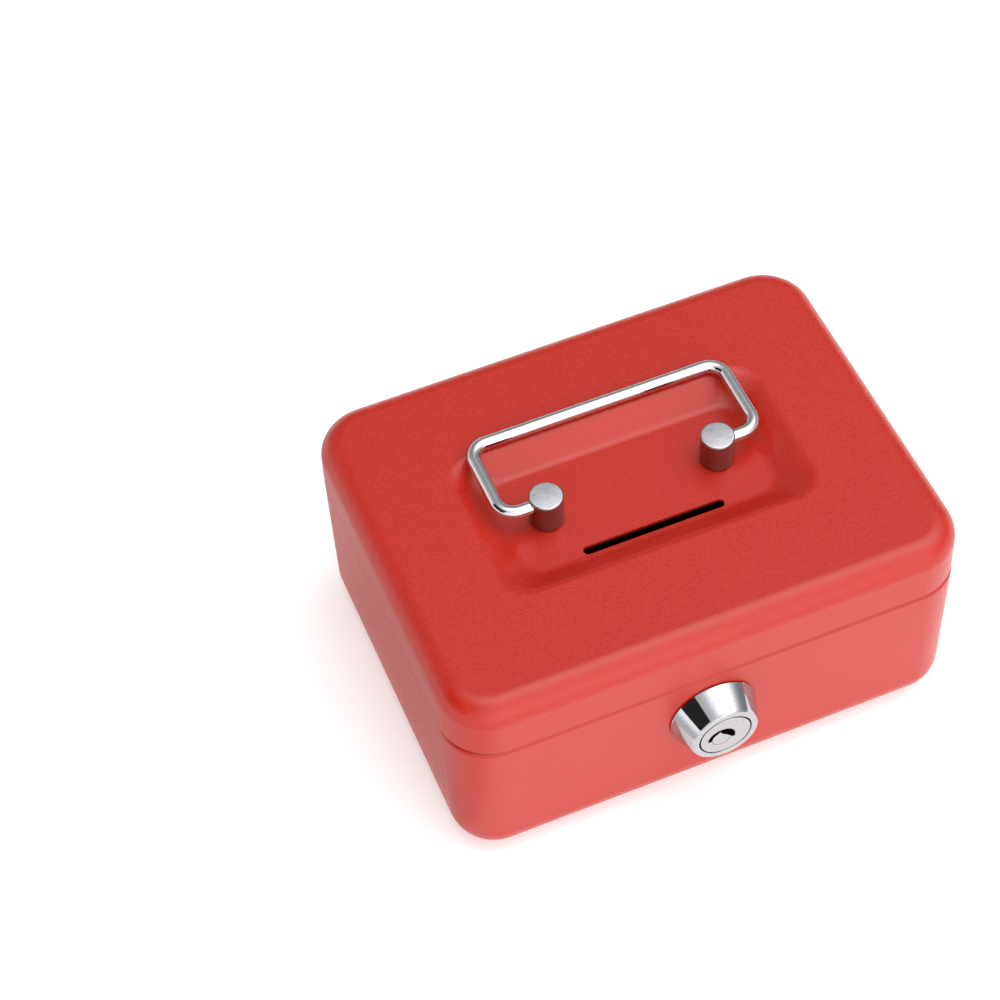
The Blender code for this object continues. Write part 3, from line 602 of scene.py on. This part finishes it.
def post_mesh(side):
    """Post with a rounded rim, blind screw bore and hole for the bail's end."""
    foot, r, c, bore_r = FLOOR_Z + GAP, POST_R, POST_RIM_R, SCREW_HOLE_R
    profile = [(0, POST_TOP_Z)] + arc(r - c, POST_TOP_Z - c, c, 90, 0, 5)
    profile += [(r, foot + 0.0001), (r - 0.0001, foot), (bore_r, foot), (bore_r, POST_BORE_Z)]
    profile += [(0, POST_BORE_Z)]
    post = revolve("post", profile, (side * POST_X, 0, 0), UPRIGHT, 96)
    inner = BAIL_LEG_END_X - GAP
    start = inner if side > 0 else -inner - 0.0060
    bore = [(BAIL_HOLE_R, 0.0060), (BAIL_HOLE_R, 0.0), (0, 0), (0, 0.0060)]
    return carve(post, revolve("bore", bore, (start, 0, BAIL_AXIS_Z), ALONG_X, 48))


def brush_tops(obj):
    """Give the flat top face its brushed finish."""
    obj.data.materials.append(TOPS)
    for face in obj.data.polygons:
        if face.normal.z > 0.95 and face.center.z > POST_TOP_Z - 0.0001:
            face.material_index = 1


def screw_mesh(profile, origin, axes, slot_low, slot_high):
    return carve(revolve("screw", profile, origin, axes, 48), block(slot_low, slot_high))


def pan_head(head, base, way, height):
    """Rounded side of a screw head that rises from its base by `way` x height."""
    side = [(head, base), (head, base + way * height * 0.45)]
    round_part = arc(0, 0, 1, 0, 60, 6)[1:]
    for cx, cy in round_part:
        side.append((head * (0.45 + 0.55 * cx), base + way * height * (0.45 + 0.55 * cy / 0.87)))
    return side + [(0, base + way * height)]


def post_screw_mesh(side):
    top, r, x = FLOOR_Z - SHEET - 2 * GAP - WASHER_T, 0.0015, side * POST_X
    tip = POST_SCREW_TIP_Z
    profile = [(0, tip), (r - 0.0003, tip)]
    profile += threads(r, 0.0002, tip - 0.0002, top + 0.0006, SCREW_PITCH)
    profile += [(r, top)] + pan_head(0.0029, top, -1, 0.0018)
    return screw_mesh(profile, (x, 0, 0), UPRIGHT, (x - 0.0040, -0.0004, top - 0.0030),
                      (x + 0.0040, 0.0004, top - 0.0009))


def bail_mesh():
    """Round wire swept along the bail's centre line."""
    curve = bpy.data.curves.new("handle_bail", "CURVE")
    curve.dimensions = "3D"
    curve.bevel_depth = WIRE_R
    curve.bevel_resolution = 8
    curve.use_fill_caps = True
    r = BAIL_BEND_R
    right = [(BAIL_LEG_END_X, 0.0)] + arc(BAIL_ARM_X - r, r, r, -90, 0, 20)
    right += arc(BAIL_ARM_X - r, BAIL_GRIP_Y - r, r, 0, 90, 20)
    path = right + [(-x, y) for x, y in reversed(right)]
    spline = curve.splines.new("POLY")
    spline.points.add(len(path) - 1)
    for point, (x, y) in zip(spline.points, path):
        point.co = (x, y, BAIL_AXIS_Z, 1.0)
    return solved(link("bail_draft", curve), "handle_bail")


WASHER_TOP = FLOOR_Z - SHEET - GAP
for side in (-1, 1):
    name = side_name(side)
    post = piece("handle_post_" + name, post_mesh(side), POST, "lid")
    brush_tops(post)
    rim = ring_profile(SCREW_HOLE_R, WASHER_R, WASHER_TOP - WASHER_T, WASHER_TOP, 0.0001)
    washer = revolve("washer", rim, (side * POST_X, 0, 0), UPRIGHT, 48)
    piece("post_washer_" + name, washer, ZINC, "lid")
    piece("post_screw_" + name, post_screw_mesh(side), ZINC, "lid")
piece("handle_bail", bail_mesh(), WIRE, "handle")

# ---------------------------------------------------------------- lid catch


def catch_mesh():
    """Strap bent at both ends with rounded bends."""
    t, front, back, b = CATCH_T, CATCH_FRONT_Y, CATCH_BACK_Y, CATCH_BEND_R
    top, foot_top = LID_TOP_Z - SHEET - GAP, LOCK_Z - CAM_HALF - GAP
    outline = [(front, top)] + arc(back - b, top - b, b, 90, 0, 8)
    outline += arc(back - b, foot_top - t + b, b, 0, -90, 8)
    outline += [(CAM_Y0 - 0.0008, foot_top - t), (CAM_Y0 - 0.0008, foot_top)]
    outline += [(back - t, foot_top), (back - t, top - t), (front, top - t)]
    return slab("catch", outline, [], CATCH_X1 - CATCH_X0, (CATCH_X0, 0, 0), ALONG_X)


piece("lid_catch", catch_mesh(), ZINC, "lid", bevel=0.00015)

# ---------------------------------------------------------------- lock


def housing_mesh():
    """Tapered bezel with a softly rounded face, and threaded barrel."""
    e = BEZEL_RIM_R
    lean = (BEZEL_BASE_R - BEZEL_FACE_R) / (BEZEL_BASE_Y - LOCK_FACE_Y)
    profile = [(PLUG_BORE_R, LOCK_FACE_Y + 0.0001), (PLUG_BORE_R + 0.0001, LOCK_FACE_Y)]
    profile += arc(BEZEL_FACE_R - e, LOCK_FACE_Y + e, e, -90, -20, 6)
    profile += [(BEZEL_FACE_R + lean * 0.0008, LOCK_FACE_Y + 0.0008),
                (BEZEL_BASE_R - lean * 0.0004, BEZEL_BASE_Y - 0.0004)]
    profile += [(BEZEL_BASE_R, BEZEL_BASE_Y - 0.0001), (BEZEL_BASE_R - 0.0001, BEZEL_BASE_Y),
                (BARREL_R - 0.0002, BEZEL_BASE_Y)]
    profile += threads(BARREL_R, 0.0003, BEZEL_BASE_Y + 0.0003, BARREL_END_Y - 0.0002, 0.0008)
    profile += [(BARREL_R - 0.0004, BARREL_END_Y), (BARREL_LIP_R, BARREL_END_Y),
                (BARREL_LIP_R, BARREL_LIP_Y), (PLUG_BORE_R, BARREL_LIP_Y)]
    housing = revolve("housing", profile, LOCK_AT, ALONG_Y, 128)
    behind, z0, z1 = BEZEL_BASE_Y + 0.0001, LOCK_Z - 0.010, LOCK_Z + 0.010
    end = BARREL_END_Y + 0.001
    flats = [block((LOCK_X + BARREL_FLAT, behind, z0), (LOCK_X + 0.012, end, z1)),
             block((LOCK_X - 0.012, behind, z0), (LOCK_X - BARREL_FLAT, end, z1))]
    groove = block((LOCK_X - 0.0008, GROOVE_Y0, LOCK_Z - 0.0075),
                   (LOCK_X + 0.0008, CHAMBER_Y1, LOCK_Z - 0.0060))
    return carve(housing, groove, *flats)


def turned(points, turn):
    """Turn flat points about the origin and give them as (z, x) drawing points."""
    a = radians(turn)
    return [(x * sin(a) + z * cos(a), x * cos(a) - z * sin(a)) for x, z in points]


def keyway(turn=0.0, start=-16, end=182, ward=False):
    """Crescent keyway; `ward` leaves the small rib on top of its core."""
    cx, cz = KEYWAY_DX, KEYWAY_DZ
    outer = arc(cx, cz, KEYWAY_OUT_R, start, end, 28)
    if not ward:
        return turned(outer + arc(cx, cz, KEYWAY_IN_R, end, start, 24), turn)
    left = arc(cx, cz, KEYWAY_OUT_R - 0.0011, end, 112, 12)
    tooth = [(cx - 0.0006, cz + KEYWAY_OUT_R - 0.0009), (cx - 0.0002, cz + KEYWAY_OUT_R - 0.0009)]
    right = [(cx, cz + 0.0018), (cx + 0.0014, cz + 0.0006), (cx + 0.0026, cz - 0.0008)]
    return turned(outer + left + tooth + right, turn)


def plug_mesh():
    """Plug with keyed face, side-open disc chamber, neck and square drive."""
    e, face = 0.0002, LOCK_FACE_Y
    profile = [(0, face), (PLUG_R - e, face), (PLUG_R - e * 0.3, face + e * 0.3)]
    profile += [(PLUG_R, face + e), (PLUG_R, PLUG_END_Y), (PLUG_NECK_R, PLUG_END_Y)]
    profile += [(PLUG_NECK_R, SQUARE_END_Y), (0, SQUARE_END_Y)]
    plug = revolve("plug", profile, LOCK_AT, ALONG_Y, 96)
    half, depth = DISC_R + GAP, CHAMBER_Y1 - CHAMBER_Y0
    chamber = arc(0, 0, half, 0, 180, 32) + [(-half, -0.0080), (half, -0.0080)]
    room = slab("room", chamber, [], depth, (LOCK_X, CHAMBER_Y0, LOCK_Z), ALONG_Y)
    bar = block((LOCK_X + 0.0040, GROOVE_Y0, LOCK_Z - 0.0008),
                (LOCK_X + 0.0075, BAR_SLOT_Y1, LOCK_Z + 0.0008))
    key = slab("key", keyway(ward=True), [], 0.0040, (LOCK_X, -0.0550, LOCK_Z), ALONG_Y)
    outer_r, inner_r = SEAM_R
    core = arc(KEYWAY_DX, KEYWAY_DZ, outer_r, 186, 342, 24)
    core += arc(KEYWAY_DX, KEYWAY_DZ, inner_r, 342, 186, 24)
    seam = slab("seam", turned(core, 0), [], 0.0012, (LOCK_X, -0.0549, LOCK_Z), ALONG_Y)
    bore = [(TAPPING_R, 0.0060), (TAPPING_R, 0.0), (0, 0), (0, 0.0060)]
    tapping = revolve("tapping", bore, (LOCK_X, TAPPING_Y, LOCK_Z), ALONG_Y, 32)
    s, far = SQUARE_HALF, 0.0060
    sides = (((s, -far), (far, far)), ((-far, -far), (-s, far)),
             ((-far, s), (far, far)), ((-far, -far), (far, -s)))
    flats = [block((LOCK_X + x0, BARREL_END_Y + 0.0003, LOCK_Z + z0),
                   (LOCK_X + x1, FLATS_END_Y, LOCK_Z + z1)) for (x0, z0), (x1, z1) in sides]
    return carve(plug, room, bar, key, seam, tapping, *flats)


def paint_keyway_shade(obj):
    """Paint the side walls inside the keyway near black: painted shade in the deep opening."""
    obj.data.materials.append(KEYWAY_SHADE)
    for face in obj.data.polygons:
        x, y, z = face.center - Vector(LOCK_AT)
        # side walls inside the keyway get the painted shade
        inside = LOCK_FACE_Y + 0.0001 < y < -0.0515 and (x * x + z * z) ** 0.5 < 0.0048
        if inside and abs(face.normal.y) < 0.5:
            face.material_index = 1


def disc_mesh(number):
    """Brass disc with a notch for the bar and its own key cut."""
    y = DISC_FIRST_Y + (number - 1) * DISC_PITCH - DISC_T / 2
    half_turn, floor = DISC_TURNS[number - 1] / 2, DISC_R - 0.0012
    edge = arc(0, 0, DISC_R, 99.3, 440.7, 64) + [(0.0008, floor), (-0.0008, floor)]
    opening = keyway(0.0, -12 - half_turn, 180 + half_turn)
    return slab("disc", edge, [opening], DISC_T, (LOCK_X, y, LOCK_Z), ALONG_Y)


def nut_mesh():
    """Hexagon nut with turned corners and a plain bore."""
    y0, y1 = NUT_Y
    nut = slab("nut", circle(NUT_R, 6), [circle(BARREL_R + GAP, 64)], y1 - y0,
               (LOCK_X, y0, LOCK_Z), ALONG_Y)
    ring = [(0.0126, y1 + 0.001), (0.0126, y1 - 0.0015), (0.0107, y1 - 0.0006), (0.0095, y1),
            (0.0088, y1 + 0.001)]
    return carve(nut, revolve("turned", ring, LOCK_AT, ALONG_Y, 96))


def cam_mesh():
    """Flat stamped cam with hub, arm and square hole."""
    hub, half, reach, c, s = CAM_HUB_R, CAM_HALF, CAM_REACH, 0.0015, SQUARE_HALF + GAP
    start = 90 - degrees(acos(half / hub))
    outline = arc(0, 0, hub, start, 360 - start, 60)
    outline += arc(reach - c, -half + c, c, -90, 0, 10) + arc(reach - c, half - c, c, 0, 90, 10)
    square = [(-s, -s), (s, -s), (s, s), (-s, s)]
    return slab("cam", outline, [square], CAM_Y1 - CAM_Y0, (LOCK_X, CAM_Y0, LOCK_Z), ALONG_Y)


def cam_screw_mesh():
    base, tip, r = CAM_SCREW_Y, CAM_SCREW_TIP_Y, CAM_SCREW_R
    profile = [(0, tip), (r - 0.0002, tip)]
    profile += threads(r, 0.0002, tip + 0.0002, base - 0.0006, SCREW_PITCH)
    profile += [(r, base)] + pan_head(0.0030, base, 1, 0.0017)
    return screw_mesh(profile, LOCK_AT, ALONG_Y, (LOCK_X - 0.0045, base + 0.0008, LOCK_Z - 0.0004),
                      (LOCK_X + 0.0045, base + 0.0030, LOCK_Z + 0.0004))


piece("lock_housing", housing_mesh(), CHROME, "body", crease=28)
plug = piece("lock_plug", plug_mesh(), PLUG, "lock")
paint_keyway_shade(plug)
large = ring_profile(BARREL_R + GAP, LOCK_WASHER_R, *LOCK_WASHER_Y, 0.0001)
piece("lock_washer", revolve("washer", large, LOCK_AT, ALONG_Y, 72), ZINC, "body")
piece("lock_nut", nut_mesh(), ZINC, "body", crease=20)
piece("lock_cam", cam_mesh(), LEAF, "lock", bevel=0.00015)
small = ring_profile(*CAM_WASHER_R, *CAM_WASHER_Y, 0.0001)
piece("cam_washer", revolve("washer", small, LOCK_AT, ALONG_Y, 48), ZINC, "lock")
piece("cam_screw", cam_screw_mesh(), ZINC, "lock")
bar = block((LOCK_X + 0.0042, BAR_Y0, LOCK_Z - 0.0005), (LOCK_X + 0.0060, BAR_Y1, LOCK_Z + 0.0005))
piece("locking_bar", bar, BRASS, "lock", bevel=0.0001)
for number in range(1, len(DISC_TURNS) + 1):
    piece("tumbler_disc_%d" % number, disc_mesh(number), BRASS, "lock", bevel=0.0001)

# ---------------------------------------------------------------- floor, light and camera
FLOOR_GLOW = 0.32
DOME_LOW = 0.012
# azimuth from the front and elevation in degrees, strength, sharpness
DOME_LOBES = (
    (-14.0, -68.0, 1.7, 1.9),    # broad glow along the front horizon
    (86.0, 60.0, 2.9, 22.0),     # main light, high on the right
    (10.0, 40.0, 1.45, 8.0),     # upper front light
    (0.0, 6.0, 1.2, 18.0),       # bright strip low in front
    (180.0, 86.0, 3.0, 60.0),    # small soft light overhead
    (165.0, 36.0, 0.22, 6.0),    # weak light from behind
    (-120.0, -60.0, 0.5, 2.5),   # weak glow along the left rear horizon
    (-95.0, 8.0, 1.0, 8.0),      # fill from the left
    (-60.0, 65.0, 0.30, 6.0),    # weak fill, high on the left
)


def plain(name, colour, roughness):
    m = Nodes(name)
    m.base(colour, 0.0, Roughness=roughness)
    return m.mat


def card(name, size, at, aim, mat):
    """Flat sheet of studio paper or card whose face looks at `aim`."""
    bm = bmesh.new()
    bmesh.ops.create_grid(bm, x_segments=1, y_segments=1, size=0.5)
    mesh = bpy.data.meshes.new(name)
    bm.to_mesh(mesh)
    bm.free()
    mesh.materials.append(mat)
    obj = link(name, mesh)
    obj.scale = (size[0], size[1], 1)
    obj.location = at
    obj.rotation_euler = (Vector(aim) - Vector(at)).to_track_quat("Z", "Y").to_euler()
    return obj


def math_node(tree, operation, *values):
    """Math node with its first inputs linked or set."""
    node = tree.nodes.new("ShaderNodeMath")
    node.operation = operation
    for socket, value in zip(node.inputs, values):
        if isinstance(value, float):
            socket.default_value = value
        else:
            tree.links.new(value, socket)
    return node.outputs[0]


def soft_dome(low, lobes):
    """Studio surround: dim all over, with broad soft lobes of light."""
    world = bpy.data.worlds.new("studio")
    bpy.context.scene.world = world
    world.use_nodes = True
    tree = world.node_tree
    ways = tree.nodes.new("ShaderNodeTexCoord").outputs["Generated"]
    level = low
    for azimuth, elevation, strength, sharpness in lobes:
        a, e = radians(azimuth), radians(elevation)
        dot = tree.nodes.new("ShaderNodeVectorMath")
        dot.operation = "DOT_PRODUCT"
        dot.inputs[1].default_value = (cos(e) * sin(a), -cos(e) * cos(a), sin(e))
        tree.links.new(ways, dot.inputs[0])
        near = math_node(tree, "MULTIPLY_ADD", dot.outputs["Value"], 0.5, 0.5)
        lobe = math_node(tree, "POWER", near, sharpness)
        level = math_node(tree, "MULTIPLY_ADD", lobe, strength, level)
    ground = tree.nodes["Background"]
    ground.inputs["Color"].default_value = (1.0, 1.0, 1.0, 1)
    tree.links.new(level, ground.inputs["Strength"])


paper = plain("floor_paper", (0.86, 0.86, 0.86), 0.9)
glow = paper.node_tree.nodes["Principled BSDF"].inputs
glow["Emission Color"].default_value = (1.0, 1.0, 1.0, 1)
glow["Emission Strength"].default_value = FLOOR_GLOW
card("floor", (8, 8), (0, 0, 0), (0, 0, 1), paper)
dark = card("dark_flag", (0.9, 0.75), (-0.80, 0.0, 0.52), (0, 0, 0.03),
            plain("black_card", (0.01, 0.01, 0.01), 0.9))
dark.visible_camera = False
grey = card("grey_card", (0.20, 0.32), (-0.1655, 0.02, 0.0005), (-0.1655, 0.02, 1),
            plain("grey_card", (0.70, 0.70, 0.70), 0.9))
grey.visible_camera = False
grey.visible_diffuse = False
grey.visible_shadow = False
soft_dome(DOME_LOW, DOME_LOBES)

# camera round the box, aimed near its middle
AZIMUTH, ELEVATION, ROLL = radians(-19.408), radians(52.425), radians(-3.770)
DISTANCE, LENS = 0.614778, 93.481
AIM_RIGHT, AIM_UP, AIM_Z = -0.030502, 0.013912, 0.030


def place_camera():
    """Camera that looks down on the front left of the box."""
    back = Vector((sin(AZIMUTH) * cos(ELEVATION), -cos(AZIMUTH) * cos(ELEVATION), sin(ELEVATION)))
    right = (-back).cross(Vector((0, 0, 1))).normalized()
    up = right.cross(-back)
    across = cos(ROLL) * right + sin(ROLL) * up
    above = -sin(ROLL) * right + cos(ROLL) * up
    at = Vector((0, 0, AIM_Z)) + right * AIM_RIGHT + up * AIM_UP + back * DISTANCE
    data = bpy.data.cameras.new("camera")
    data.lens = LENS
    data.sensor_width = 36.0
    data.clip_start = 0.01
    obj = link("camera", data)
    obj.matrix_world = Matrix.Translation(at) @ Matrix((across, above, back)).transposed().to_4x4()
    bpy.context.scene.camera = obj


place_camera()
bpy.context.scene.view_settings.view_transform = "Standard"

bpy.context.view_layer.update()
